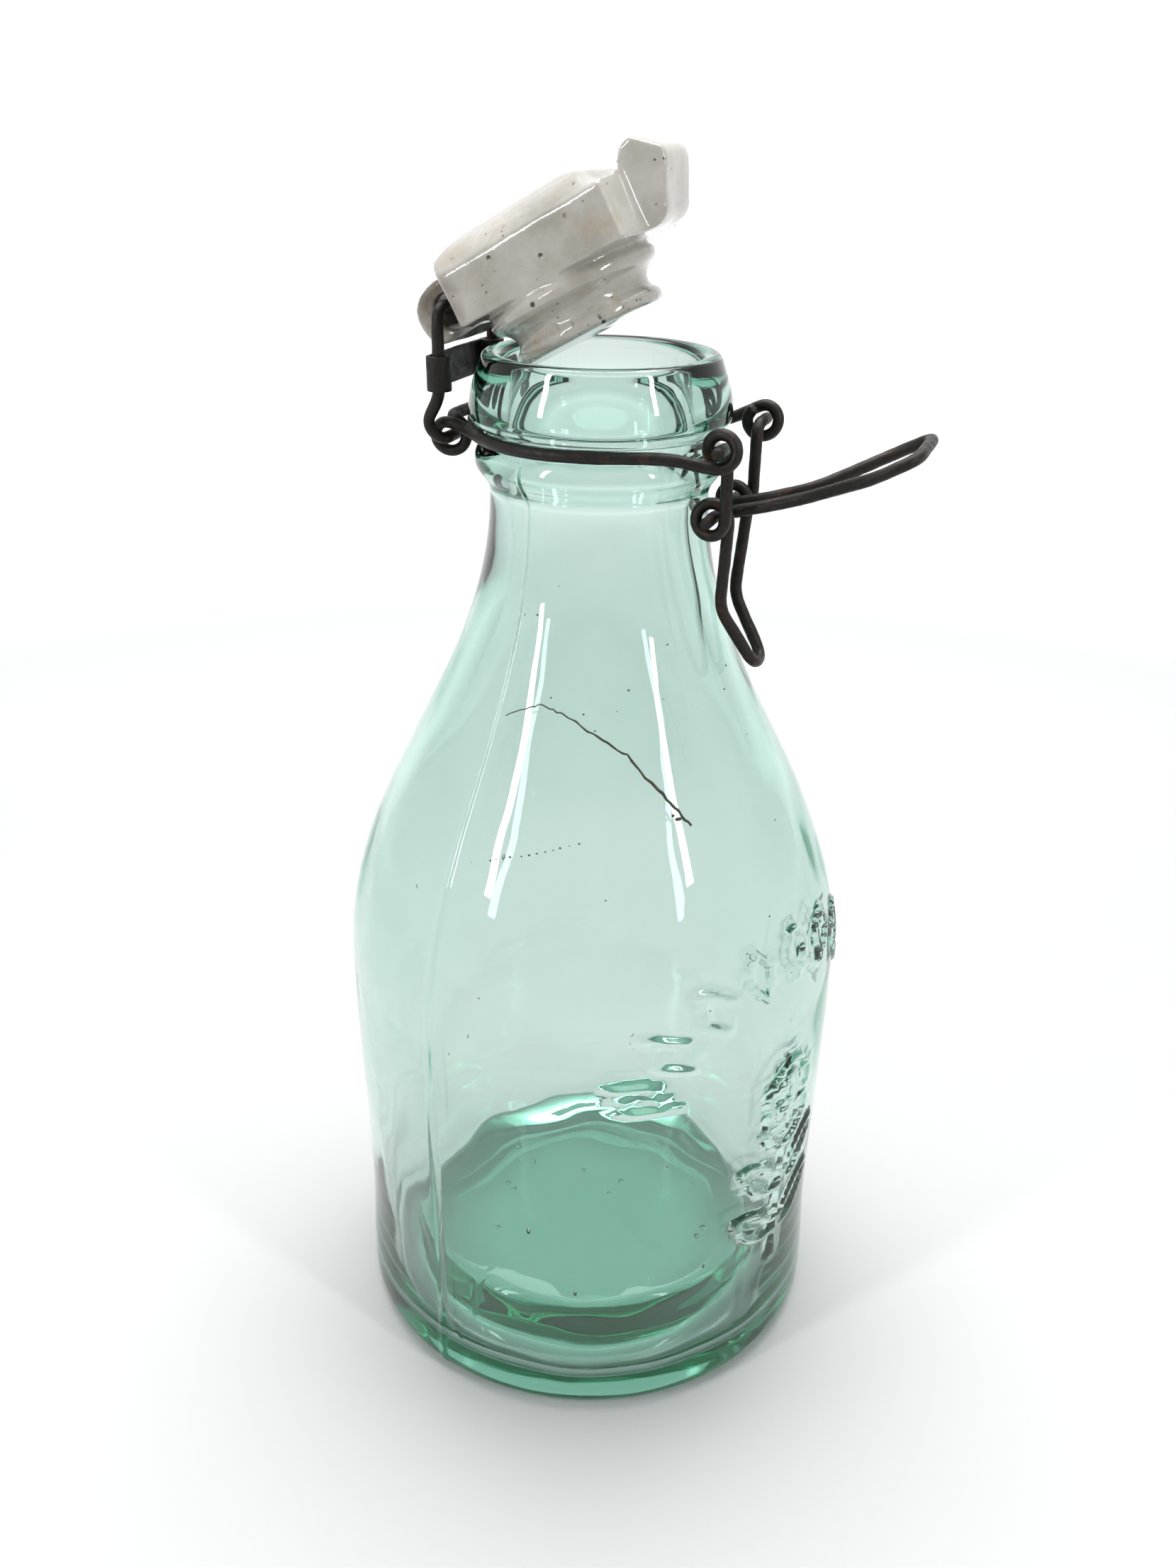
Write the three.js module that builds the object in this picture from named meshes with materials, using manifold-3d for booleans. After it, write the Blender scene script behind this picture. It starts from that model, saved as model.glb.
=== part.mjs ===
// Swing top bottle: a one litre moulded glass bottle with a porcelain stopper on a wire closure.
// Millimetres, +Z up. The origin is on the bottle's axis, on the face that it stands on.
// +X points from the stopper's hinge towards its nose; the closure is symmetric about the XZ plane.
import * as THREE from 'three';
import { mergeVertices } from 'three/addons/utils/BufferGeometryUtils.js';
import Module from 'manifold-3d';

const wasm = await Module();
wasm.setup();

const GAP = 0.4;                  // running clearance between pieces that touch on the real thing

// Bottle
const HEIGHT = 216;
const BODY_R = 53;
const HEEL_R = BODY_R - 3.5;      // standing face
const WAIST_R = BODY_R - 1.3;     // slight waist above the heel
const SHOULDER_Z = 90;            // where the shoulder starts
const BORE_R = 18.6;
const WALL = 4;
const NECK_R = BORE_R + 2.7;
const NECK_Z = HEIGHT - 22;       // top of the shoulder curve
const BEAD_R = BORE_R + 5.6;      // ridge under the wire's groove
const BEAD_HALF = 2.2;
const GROOVE_Z = HEIGHT - 14.8;
const LIP_R = BORE_R + 6.5;
const CREST_R = BORE_R + 4.2;
const FLOOR = 7.5;                // glass under the inside
const BOTTLE_SIDES = 48;

// Wire
const WIRE_R = 1.25;
const WIRE_SIDES = 8;
const WIRE_STEP = 1.6;            // length of one facet along the wire
const PITCH = 2 * WIRE_R + GAP;   // sideways travel of a full turn
const EYE_R = 2 * WIRE_R + 1.5 * GAP;   // centreline radius of an eye that holds a wire

// Neck wire
const RING_R = BORE_R + WALL + GAP + WIRE_R - 0.25;
const GROOVE_R = RING_R - WIRE_R - GAP;
const STRAND_ANGLE = 20;          // degrees round from the front, where a strand leaves the groove
const STRAND_LENGTH = 12;         // straight, until it is clear of the lip
const EYE_X = RING_R + EYE_R + WIRE_R - 0.25;
const EYE_Z = GROOVE_Z + 1.4;
const LOOP_X = -RING_R - EYE_R - 0.7;
const LOOP_Z = GROOVE_Z - 1.8;
const LOOP_Y = 9.3;

// Hinge wire and strap
const LEG_Y = LOOP_Y + 2 * WIRE_R + 1.5 * GAP;
const LEG_LENGTH = 24;            // loop axis to stopper axis
const STRAP_LOW = 9.2;            // above the loop axis
const STRAP_HEIGHT = 6.4;
const STRAP_T = 0.8;
const SLEEVE_T = 0.7;

// Stopper, in its own frame: X along its length, Z up, origin at its hinge hole's centre
const TILT = 28.4;                // degrees, nose up
const HOLE_UP = 1.2;              // the wire lies this far above the hole's centre
const HOLE_W = 5.4;
const HOLE_H = 6.8;
const PLUG_X = -LOOP_X - 7;       // hinge hole to plug axis
const TOP_HALF = BORE_R - 2.6;    // half width of the stopper's top
const TOP_LOW = -4.4;
const TOP_EDGE = 5.5;             // upper edge of its flat sides
const CROWN = 11.8;
const BACK_X = 2.4;               // end of the top over the hinge
const FACE_X0 = 5;                // the flat sides run from here
const FACE_X1 = PLUG_X + BORE_R - 0.2;
const SADDLE_X = FACE_X1 - 1.4;
const SADDLE_Z = 6.2;
const SADDLE_R = 3.2;
const NOSE_X = SADDLE_X + 11.6;
const NOSE_HALF = 7.4;
const NOSE_TOP = 10.6;
const TIER_R = BORE_R - 1.6;
const SEAT_R = TIER_R - 4;        // floor of the rubber's groove
const FLANGE_R = TIER_R - 2.2;
const PLUG_LOW = -15.2;
const LUG_HALF = 8.4;

// Lever
const COIL_Y = 10;
const COIL_X = EYE_X - EYE_R;
const COIL_Z = EYE_Z - 14.1;
const LEVER_Y = COIL_Y + 0.4;
const EYE_Y = LEVER_Y + PITCH + 2 * WIRE_R + GAP;   // outer end of an eye's turn
const KNEE = [COIL_X + 1.7, 5.4, COIL_Z - 17.9];
const THUMB = [KNEE[0] + 6.9, 2.9, COIL_Z - 29.3];

// Bail
const BAIL_Y = COIL_Y - PITCH - 2 * WIRE_R - GAP;
const BAIL_BEND = [COIL_X + 17, BAIL_Y + 0.4, COIL_Z + 4.9];
const BAIL_END = [COIL_X + 36.6, 11, COIL_Z + 14.7];

const v3 = (x, y, z) => new THREE.Vector3(x, y, z);
const radians = THREE.MathUtils.degToRad;

// ---- solids ----

function toSolid(geometry) {
  const bare = geometry.clone();
  bare.deleteAttribute('normal');
  bare.deleteAttribute('uv');
  const welded = mergeVertices(bare, 1e-4);
  const vertProperties = new Float32Array(welded.attributes.position.array);
  const triVerts = new Uint32Array(welded.index.array);
  return new wasm.Manifold(new wasm.Mesh({ numProp: 3, vertProperties, triVerts }));
}

function fromSolid(solid) {
  const mesh = solid.getMesh();
  const geometry = new THREE.BufferGeometry();
  geometry.setAttribute('position', new THREE.BufferAttribute(mesh.vertProperties, 3));
  geometry.setIndex(new THREE.BufferAttribute(mesh.triVerts, 1));
  geometry.computeVertexNormals();
  return geometry;
}

// An outline drawn in X and Z, made solid across Y to both sides of the middle.
function acrossY(shape, half, curveSegments = 8) {
  const geometry = new THREE.ExtrudeGeometry(shape, { depth: 2 * half, bevelEnabled: false, curveSegments });
  return geometry.rotateX(Math.PI / 2).translate(0, half, 0);
}

function alongZ(shape, low, high, curveSegments = 8) {
  const geometry = new THREE.ExtrudeGeometry(shape, { depth: high - low, bevelEnabled: false, curveSegments });
  return geometry.translate(0, 0, low);
}

// A cylinder along Z or Y.
function rod(radius, length, axis, sides = 20) {
  const geometry = new THREE.CylinderGeometry(radius, radius, length, sides);
  return axis === 'z' ? geometry.rotateX(Math.PI / 2) : geometry;
}

function lathe(path, sides) {
  const points = path.getPoints(6);
  const profile = points.filter((p, i) => i === 0 || p.distanceTo(points[i - 1]) > 1e-4);
  return new THREE.LatheGeometry(profile, sides).rotateX(Math.PI / 2);
}

// ---- wire ----

// A path through the points, straight between them, with each corner rounded off.
function rounded(points, bend) {
  const path = new THREE.CurvePath();
  let from = points[0];
  for (let i = 1; i < points.length - 1; i++) {
    const corner = points[i];
    const before = corner.clone().sub(points[i - 1]);
    const after = points[i + 1].clone().sub(corner);
    const cut = Math.min(bend, 0.499 * before.length(), 0.499 * after.length());
    const start = corner.clone().addScaledVector(before.normalize(), -cut);
    const end = corner.clone().addScaledVector(after.normalize(), cut);
    path.add(new THREE.LineCurve3(from, start));
    path.add(new THREE.QuadraticBezierCurve3(start, corner, end));
    from = end;
  }
  path.add(new THREE.LineCurve3(from, points[points.length - 1]));
  return path;
}

function wire(points, bend = 3) {
  const path = rounded(points, bend);
  const section = new THREE.Shape();
  section.absarc(0, 0, WIRE_R, 0, 2 * Math.PI, false);
  const steps = Math.round(path.getLength() / WIRE_STEP);
  return new THREE.ExtrudeGeometry(section, { steps, extrudePath: path, curveSegments: WIRE_SIDES / 2 });
}

// Points of a turn about an axis along Y. It starts at angle `from`, measured from straight down
// towards +X, sweeps by `sweep` degrees and travels from y0 to y1.
function turn(x, z, y0, y1, from, sweep) {
  const count = Math.round(Math.abs(sweep) / 30);
  const points = [];
  for (let i = 0; i <= count; i++) {
    const angle = radians(from + (sweep * i) / count);
    const y = y0 + ((y1 - y0) * i) / count;
    points.push(v3(x + EYE_R * Math.sin(angle), y, z - EYE_R * Math.cos(angle)));
  }
  return points;
}

// The other half of a wire whose first half ends in the middle.
function mirrored(points) {
  return points.map((p) => v3(p.x, -p.y, p.z)).reverse();
}

// ---- pieces ----

function bottle() {
  const p = new THREE.Path();
  const heel = BODY_R - 0.8;
  p.moveTo(0, 0);
  p.lineTo(HEEL_R - 4, 0);
  p.quadraticCurveTo(heel, 0.2, heel, 9);
  p.bezierCurveTo(heel, 18, WAIST_R, 18, WAIST_R, 30);
  p.bezierCurveTo(WAIST_R, 50, BODY_R, 60, BODY_R, SHOULDER_Z);
  p.bezierCurveTo(BODY_R, SHOULDER_Z + 38, NECK_R, NECK_Z - 42, NECK_R, NECK_Z);
  p.quadraticCurveTo(BEAD_R, NECK_Z + 0.8, BEAD_R, NECK_Z + BEAD_HALF);
  p.quadraticCurveTo(BEAD_R, GROOVE_Z - 2.6, GROOVE_R, GROOVE_Z - 1.4);
  p.lineTo(GROOVE_R, GROOVE_Z + 1.2);
  p.quadraticCurveTo(LIP_R, GROOVE_Z + 1.6, LIP_R, GROOVE_Z + 4.2);
  p.bezierCurveTo(LIP_R, GROOVE_Z + 8, CREST_R + 0.9, HEIGHT - 4, CREST_R, HEIGHT - 1.2);
  p.quadraticCurveTo(CREST_R - 0.4, HEIGHT, CREST_R - 1.6, HEIGHT);
  p.lineTo(BORE_R + 1.4, HEIGHT);
  p.quadraticCurveTo(BORE_R, HEIGHT - 0.2, BORE_R, HEIGHT - 2.4);
  p.bezierCurveTo(BORE_R, HEIGHT - 16, NECK_R - WALL, NECK_Z + 4, NECK_R - WALL, NECK_Z - 8);
  const inside = BODY_R - WALL;
  p.bezierCurveTo(NECK_R - WALL, NECK_Z - 45, inside, SHOULDER_Z + 35, inside, SHOULDER_Z - 2);
  p.lineTo(inside - 1, FLOOR + 14);
  p.quadraticCurveTo(inside - 2, FLOOR, inside - 16, FLOOR);
  p.lineTo(0, FLOOR - 1);
  return lathe(p, BOTTLE_SIDES);
}

function neckWire() {
  const ring = (angle) => v3(RING_R * Math.sin(angle), -RING_R * Math.cos(angle), GROOVE_Z);
  const leave = radians(STRAND_ANGLE);
  const strand = ring(leave).add(
    v3(Math.cos(leave), Math.sin(leave), 0).multiplyScalar(STRAND_LENGTH));
  const ringEnd = radians(-44);
  const ringPoints = Array.from({ length: 8 }, (_, i) => ring(leave + ((ringEnd - leave) * i) / 7));
  const overEye = turn(EYE_X, EYE_Z, -EYE_Y + PITCH, -EYE_Y, 330, -330);
  const underEye = turn(EYE_X, EYE_Z, EYE_Y, EYE_Y - PITCH, 180, -330);
  const half = [
    strand,
    ...ringPoints,
    v3(LOOP_X + 4.6, -LOOP_Y - 0.9, GROOVE_Z + 0.2),
    ...turn(LOOP_X, LOOP_Z, -LOOP_Y, -LOOP_Y + PITCH, 180, 330),
    v3(LOOP_X - 1.2, -LOOP_Y + PITCH + 0.5, LOOP_Z + EYE_R + 0.2),
  ];
  return wire([...overEye, ...half, ...mirrored(half), ...underEye]);
}

function hingeWire() {
  const half = [
    v3(LOOP_X, -LEG_Y + 7.6, LOOP_Z),
    v3(LOOP_X, -LEG_Y, LOOP_Z),
    v3(LOOP_X - 3.2, -LEG_Y, LOOP_Z + 2.8),
    v3(LOOP_X, -LEG_Y, LOOP_Z + STRAP_LOW - 1.2),
    v3(LOOP_X, -LEG_Y, LOOP_Z + LEG_LENGTH),
  ];
  return wire([...half, ...mirrored(half)], 2.1);
}

function hingeStrap() {
  const inner = WIRE_R + GAP;
  const outer = inner + SLEEVE_T;
  const middle = LOOP_Z + STRAP_LOW + STRAP_HEIGHT / 2;
  const band = new THREE.BoxGeometry(STRAP_T, 2 * LEG_Y, STRAP_HEIGHT);
  let solid = toSolid(band.translate(LOOP_X - outer + STRAP_T / 2, 0, middle));
  for (const side of [-1, 1]) {
    const sleeve = rod(outer, STRAP_HEIGHT, 'z').translate(LOOP_X, side * LEG_Y, middle);
    solid = solid.add(toSolid(sleeve));
  }
  for (const side of [-1, 1]) {
    const leg = rod(inner, 2 * STRAP_HEIGHT, 'z').translate(LOOP_X, side * LEG_Y, middle);
    solid = solid.subtract(toSolid(leg));
  }
  return fromSolid(solid);
}

function stopperTop() {
  const side = new THREE.Shape();
  side.moveTo(BACK_X - 1, TOP_LOW);
  side.lineTo(BACK_X - 1, TOP_EDGE);
  side.quadraticCurveTo(BACK_X, CROWN - 1.5, 10, CROWN - 0.8);
  side.quadraticCurveTo(20, CROWN + 0.4, SADDLE_X - 8.8, CROWN - 0.4);
  side.quadraticCurveTo(SADDLE_X - 4, CROWN - 1.4, SADDLE_X - SADDLE_R, SADDLE_Z + SADDLE_R);
  side.quadraticCurveTo(SADDLE_X - SADDLE_R / 2, SADDLE_Z, SADDLE_X, SADDLE_Z);
  side.quadraticCurveTo(SADDLE_X + SADDLE_R, SADDLE_Z, SADDLE_X + SADDLE_R, SADDLE_Z + 2.4);
  side.quadraticCurveTo(SADDLE_X + SADDLE_R + 0.6, NOSE_TOP, SADDLE_X + 6.6, NOSE_TOP);
  side.lineTo(NOSE_X - 1, NOSE_TOP - 3.4);
  side.quadraticCurveTo(NOSE_X, NOSE_TOP - 4, NOSE_X - 0.4, NOSE_TOP - 6);
  side.lineTo(NOSE_X - 3.4, TOP_LOW + 3);
  side.quadraticCurveTo(NOSE_X - 4.2, TOP_LOW - 0.2, NOSE_X - 8, TOP_LOW - 0.2);
  side.lineTo(NOSE_X - 12, TOP_LOW);

  const plan = new THREE.Shape();
  const corner = 2.4;
  plan.moveTo(FACE_X0, -TOP_HALF);
  plan.lineTo(FACE_X1, -TOP_HALF);
  plan.quadraticCurveTo(FACE_X1 + 1, -NOSE_HALF, FACE_X1 + 3.4, -NOSE_HALF);
  plan.lineTo(NOSE_X - corner, -NOSE_HALF);
  plan.quadraticCurveTo(NOSE_X + 0.5, -NOSE_HALF, NOSE_X + 0.5, -NOSE_HALF + corner);
  plan.lineTo(NOSE_X + 0.5, NOSE_HALF - corner);
  plan.quadraticCurveTo(NOSE_X + 0.5, NOSE_HALF, NOSE_X - corner, NOSE_HALF);
  plan.lineTo(FACE_X1 + 3.4, NOSE_HALF);
  plan.quadraticCurveTo(FACE_X1 + 1, NOSE_HALF, FACE_X1, TOP_HALF);
  plan.lineTo(FACE_X0, TOP_HALF);
  plan.bezierCurveTo(BACK_X + 1, TOP_HALF, BACK_X, 12, BACK_X, 0);
  plan.bezierCurveTo(BACK_X, -12, BACK_X + 1, -TOP_HALF, FACE_X0, -TOP_HALF);

  // Seen from the end: flat sides under an arched top, drawn in Y and Z.
  const end = new THREE.Shape();
  const rise = CROWN - TOP_EDGE;
  const arch = (TOP_HALF ** 2 + rise ** 2) / (2 * rise);
  const spread = Math.asin(TOP_HALF / arch);
  end.moveTo(-TOP_HALF, TOP_LOW - 1);
  end.lineTo(TOP_HALF, TOP_LOW - 1);
  end.lineTo(TOP_HALF, TOP_EDGE);
  end.absarc(0, CROWN - arch, arch, Math.PI / 2 - spread, Math.PI / 2 + spread, false);
  const tunnel = alongZ(end, -5, NOSE_X + 5, 7).rotateX(Math.PI / 2).rotateZ(Math.PI / 2);

  return toSolid(acrossY(side, TOP_HALF + 1))
    .intersect(toSolid(alongZ(plan, TOP_LOW - 2, CROWN + 2)))
    .intersect(toSolid(tunnel));
}

function stopperPlug() {
  const p = new THREE.Path();
  p.moveTo(0, PLUG_LOW);
  p.lineTo(FLANGE_R - 1, PLUG_LOW);
  p.quadraticCurveTo(FLANGE_R, PLUG_LOW + 0.2, FLANGE_R, PLUG_LOW + 1.4);
  p.quadraticCurveTo(FLANGE_R, PLUG_LOW + 2.8, FLANGE_R - 1.2, PLUG_LOW + 3);
  p.quadraticCurveTo(SEAT_R - 0.3, PLUG_LOW + 4.8, FLANGE_R, PLUG_LOW + 6.6);
  p.quadraticCurveTo(TIER_R, PLUG_LOW + 7, TIER_R, TOP_LOW - 1.8);
  p.lineTo(TIER_R - 1.8, TOP_LOW + 0.2);
  p.lineTo(0, TOP_LOW + 1);
  return lathe(p, 36).translate(PLUG_X, 0, 0);
}

function stopperLug() {
  const outline = new THREE.Shape();
  outline.moveTo(4.5, TOP_LOW - 0.3);
  outline.lineTo(4.5, TOP_EDGE);
  outline.lineTo(0.5, TOP_EDGE + 0.8);
  outline.bezierCurveTo(-3, TOP_EDGE + 0.8, -6.8, TOP_EDGE - 1, -6.9, 1);
  outline.bezierCurveTo(-7, -3, -5.6, -4.9, -2.4, -4.9);
  outline.quadraticCurveTo(0.4, -4.9, 1.4, TOP_LOW - 0.3);
  return acrossY(outline, LUG_HALF);
}

function stopper() {
  const hole = new THREE.Shape();
  const r = HOLE_W / 2;
  const reach = HOLE_H / 2 - r;
  hole.absarc(0, reach, r, 0, Math.PI, false);
  hole.absarc(0, -reach, r, Math.PI, 2 * Math.PI, false);
  return fromSolid(stopperTop()
    .add(toSolid(stopperPlug()))
    .add(toSolid(stopperLug()))
    .subtract(toSolid(acrossY(hole, LUG_HALF + 1))));
}

function lever() {
  const half = [
    v3(EYE_X, -EYE_Y - 2.4, EYE_Z),
    v3(EYE_X, -LEVER_Y, EYE_Z),
    ...turn(COIL_X, COIL_Z, -COIL_Y, -COIL_Y + PITCH, 90, -360),
    v3(KNEE[0], -KNEE[1], KNEE[2]),
    v3(THUMB[0], -THUMB[1], THUMB[2]),
  ];
  return wire([...half, ...mirrored(half)], 2.4);
}

function bail() {
  const half = [
    v3(COIL_X, -COIL_Y - 2.6, COIL_Z),
    v3(COIL_X, -BAIL_Y, COIL_Z),
    v3(COIL_X + 9, -BAIL_Y, COIL_Z + 2.3),
    v3(BAIL_BEND[0], -BAIL_BEND[1], BAIL_BEND[2]),
    v3(BAIL_END[0] - 6.5, -BAIL_END[1], BAIL_END[2] - 3.6),
    v3(BAIL_END[0], -BAIL_END[1] + 1.5, BAIL_END[2]),
  ];
  return wire([...half, ...mirrored(half)], 3);
}

// ---- assembly ----

const glass = new THREE.MeshStandardMaterial({ color: 0xa9d3c6, roughness: 0.05, metalness: 0 });
const porcelain = new THREE.MeshStandardMaterial({ color: 0xe3dfd4, roughness: 0.18, metalness: 0 });
const iron = new THREE.MeshStandardMaterial({ color: 0x2a2420, roughness: 0.6, metalness: 0.6 });

function piece(name, geometry, material) {
  const mesh = new THREE.Mesh(geometry, material.clone());
  mesh.name = name;
  return mesh;
}

const swingTopBottle = new THREE.Group();
swingTopBottle.add(
  piece('bottle', bottle(), glass),
  piece('neck_wire', neckWire(), iron),
  piece('hinge_wire', hingeWire(), iron),
  piece('hinge_strap', hingeStrap(), iron),
  piece('lever', lever(), iron),
  piece('bail', bail(), iron),
);

// The stopper hangs on the hinge wire, which lies HOLE_UP above the middle of its hole.
const lid = new THREE.Group();
const tilt = radians(TILT);
lid.position.set(
  LOOP_X + HOLE_UP * Math.sin(tilt), 0, LOOP_Z + LEG_LENGTH - HOLE_UP * Math.cos(tilt));
lid.rotation.y = -tilt;
lid.add(piece('stopper', stopper(), porcelain));
swingTopBottle.add(lid);

export default swingTopBottle;
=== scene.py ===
"""Looks of a swing top bottle: aqua glass, a porcelain stopper and a rusty wire closure.
Metres, +Z up, the bottle's axis is Z, and +X points from the stopper's hinge towards the lever."""

import math
from random import Random

import bpy
from mathutils import Matrix, Vector, noise


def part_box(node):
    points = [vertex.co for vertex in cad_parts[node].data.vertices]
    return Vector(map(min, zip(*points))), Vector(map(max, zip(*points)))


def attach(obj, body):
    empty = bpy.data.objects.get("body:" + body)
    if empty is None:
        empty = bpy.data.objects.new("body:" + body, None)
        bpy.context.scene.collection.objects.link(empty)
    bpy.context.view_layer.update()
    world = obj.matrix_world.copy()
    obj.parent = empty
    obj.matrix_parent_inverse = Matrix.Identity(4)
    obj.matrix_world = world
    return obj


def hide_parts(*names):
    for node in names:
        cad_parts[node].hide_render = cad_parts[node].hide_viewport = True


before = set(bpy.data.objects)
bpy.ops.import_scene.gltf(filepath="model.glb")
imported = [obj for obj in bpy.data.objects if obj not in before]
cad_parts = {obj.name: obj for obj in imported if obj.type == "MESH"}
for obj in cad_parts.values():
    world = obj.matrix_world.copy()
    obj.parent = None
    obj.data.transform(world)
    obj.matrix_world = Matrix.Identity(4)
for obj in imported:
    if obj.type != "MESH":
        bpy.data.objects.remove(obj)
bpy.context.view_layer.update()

MM = 0.001
bpy.ops.object.select_all(action="DESELECT")

# ---- sizes, in millimetres; the height and the widest radius come from the frame ----

_, bottle_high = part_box("bottle")
HEIGHT = bottle_high.z / MM
BODY_R = bottle_high.x / MM

WALL = 4.0
HEEL_R = BODY_R - 3.5          # outer corner of the foot
WAIST_R = BODY_R - 1.3         # slight waist above the foot
SHOULDER_Z = 90.0
NECK_R = 21.3
NECK_Z = 194.0
BEAD_R = 24.2                  # bead under the wire's groove
GROOVE_R = 22.35
GROOVE_Z = 201.2
LIP_R = 25.1
CREST_R = 22.8                 # top edge of the lip
BORE_R = 18.6
PUSH_UP = 3.2                  # hollow under the foot
RISE_R = 40.2                  # the floor inside rises to a low round table, with a trough round it
RISE_Z = 18.0
TROUGH_Z = 6.0
RISE_UNEVEN = 3.0              # how unevenly the table's edge was pressed

ORNAMENT_AT = -18.0            # degrees round from +X, middle of the raised ornament
ORNAMENT_HALF = 51.0           # degrees to each side
ORNAMENT_TOP = 115.0
SEAM_HALF = 1.0                # degrees, fine band round each mould seam
RELIEF = 0.85                  # height of the ornament
SEAM_HEIGHT = 0.28

# The stopper's hinge hole, and how far the stopper leans at rest.
HINGE = Vector((-27.8, 0, 223.4)) * MM
TILT = math.radians(28.4)


# ---- small helpers ----

def edit_only(obj):
    """Selects one object alone and opens it in edit mode."""
    if bpy.context.mode != "OBJECT":
        bpy.ops.object.mode_set(mode="OBJECT")
    bpy.ops.object.select_all(action="DESELECT")
    obj.select_set(True)
    bpy.context.view_layer.objects.active = obj
    bpy.ops.object.mode_set(mode="EDIT")


def close_edit():
    bpy.ops.object.mode_set(mode="OBJECT")
    return bpy.context.object


def apply_all(obj):
    bpy.ops.object.select_all(action="DESELECT")
    obj.select_set(True)
    bpy.context.view_layer.objects.active = obj
    for modifier in list(obj.modifiers):
        bpy.ops.object.modifier_apply(modifier=modifier.name)


def smooth(obj, angle=None):
    bpy.ops.object.select_all(action="DESELECT")
    obj.select_set(True)
    bpy.context.view_layer.objects.active = obj
    if angle is None:
        bpy.ops.object.shade_smooth()
    else:
        bpy.ops.object.shade_smooth_by_angle(angle=math.radians(angle))


def at_origin(obj):
    """Puts the object's place and turn into its mesh."""
    bpy.ops.object.select_all(action="DESELECT")
    obj.select_set(True)
    bpy.context.view_layer.objects.active = obj
    bpy.ops.object.transform_apply(location=True, rotation=True, scale=True)


def bezier(points, steps):
    """Points (radius, height) along a Bezier curve of 3 or 4 control points, without its first one."""
    found = []
    for t in steps:
        layer = [Vector(p) for p in points]
        while len(layer) > 1:
            layer = [a.lerp(b, t) for a, b in zip(layer, layer[1:])]
        found.append(layer[0])
    return found


def even(count):
    return [(i + 1) / count for i in range(count)]


def clouds(name, size, depth=1):
    texture = bpy.data.textures.new(name, "CLOUDS")
    texture.noise_scale = size
    texture.noise_depth = depth
    return texture


def displace(obj, name, strength, texture=None, group="", middle=0.5, direction="NORMAL"):
    modifier = obj.modifiers.new(name, "DISPLACE")
    modifier.strength = strength
    modifier.mid_level = middle
    modifier.direction = direction
    modifier.vertex_group = group
    if texture is not None:
        modifier.texture = texture
        modifier.texture_coords = "LOCAL"
    return modifier


# ---- materials ----

class Nodes:
    """A material's node tree, written as calls."""

    def __init__(self, name):
        self.material = bpy.data.materials.new(name)
        self.material.use_nodes = True
        self.tree = self.material.node_tree
        self.shader = self.tree.nodes["Principled BSDF"]
        self.output = self.tree.nodes["Material Output"]
        self.place = self.add("ShaderNodeTexCoord").outputs["Object"]

    def add(self, kind, **values):
        node = self.tree.nodes.new(kind)
        for key, value in values.items():
            setattr(node, key, value)
        return node

    def link(self, output, socket):
        self.tree.links.new(output, socket)

    def noise(self, scale, detail=4.0, roughness=0.55, stretch=(1, 1, 1), place=(0, 0, 0)):
        mapping = self.add("ShaderNodeMapping")
        mapping.inputs["Scale"].default_value = stretch
        mapping.inputs["Location"].default_value = place
        self.link(self.place, mapping.inputs["Vector"])
        node = self.add("ShaderNodeTexNoise")
        node.inputs["Scale"].default_value = scale
        node.inputs["Detail"].default_value = detail
        node.inputs["Roughness"].default_value = roughness
        self.link(mapping.outputs["Vector"], node.inputs["Vector"])
        return node.outputs["Fac"]

    def cells(self, scale, place=(0, 0, 0)):
        mapping = self.add("ShaderNodeMapping")
        mapping.inputs["Location"].default_value = place
        self.link(self.place, mapping.inputs["Vector"])
        node = self.add("ShaderNodeTexVoronoi")
        node.inputs["Scale"].default_value = scale
        self.link(mapping.outputs["Vector"], node.inputs["Vector"])
        return node.outputs["Distance"]

    def ramp(self, value, stops):
        node = self.add("ShaderNodeValToRGB")
        elements = node.color_ramp.elements
        while len(elements) < len(stops):
            elements.new(0.5)
        for element, (position, color) in zip(elements, stops):
            element.position = position
            element.color = (color, color, color, 1) if isinstance(color, (int, float)) else (*color, 1)
        self.link(value, node.inputs["Fac"])
        return node.outputs["Color"]

    def mix(self, factor, a, b, blend="MIX"):
        node = self.add("ShaderNodeMix", data_type="RGBA", blend_type=blend)
        for socket, value in ((node.inputs["Factor"], factor), (node.inputs[6], a), (node.inputs[7], b)):
            if isinstance(value, bpy.types.NodeSocket):
                self.link(value, socket)
            elif isinstance(value, (int, float)):
                socket.default_value = value
            else:
                socket.default_value = (*value, 1)
        return node.outputs[2]

    def math(self, operation, a, b=0.5):
        node = self.add("ShaderNodeMath", operation=operation)
        for socket, value in ((node.inputs[0], a), (node.inputs[1], b)):
            if isinstance(value, bpy.types.NodeSocket):
                self.link(value, socket)
            else:
                socket.default_value = value
        return node.outputs[0]

    def bump(self, height, strength, distance):
        node = self.add("ShaderNodeBump")
        node.inputs["Strength"].default_value = strength
        node.inputs["Distance"].default_value = distance
        self.link(height, node.inputs["Height"])
        self.link(node.outputs["Normal"], self.shader.inputs["Normal"])

    def color(self, value):
        self.link(value, self.shader.inputs["Base Color"])

    def roughness(self, value):
        self.link(value, self.shader.inputs["Roughness"])


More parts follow.
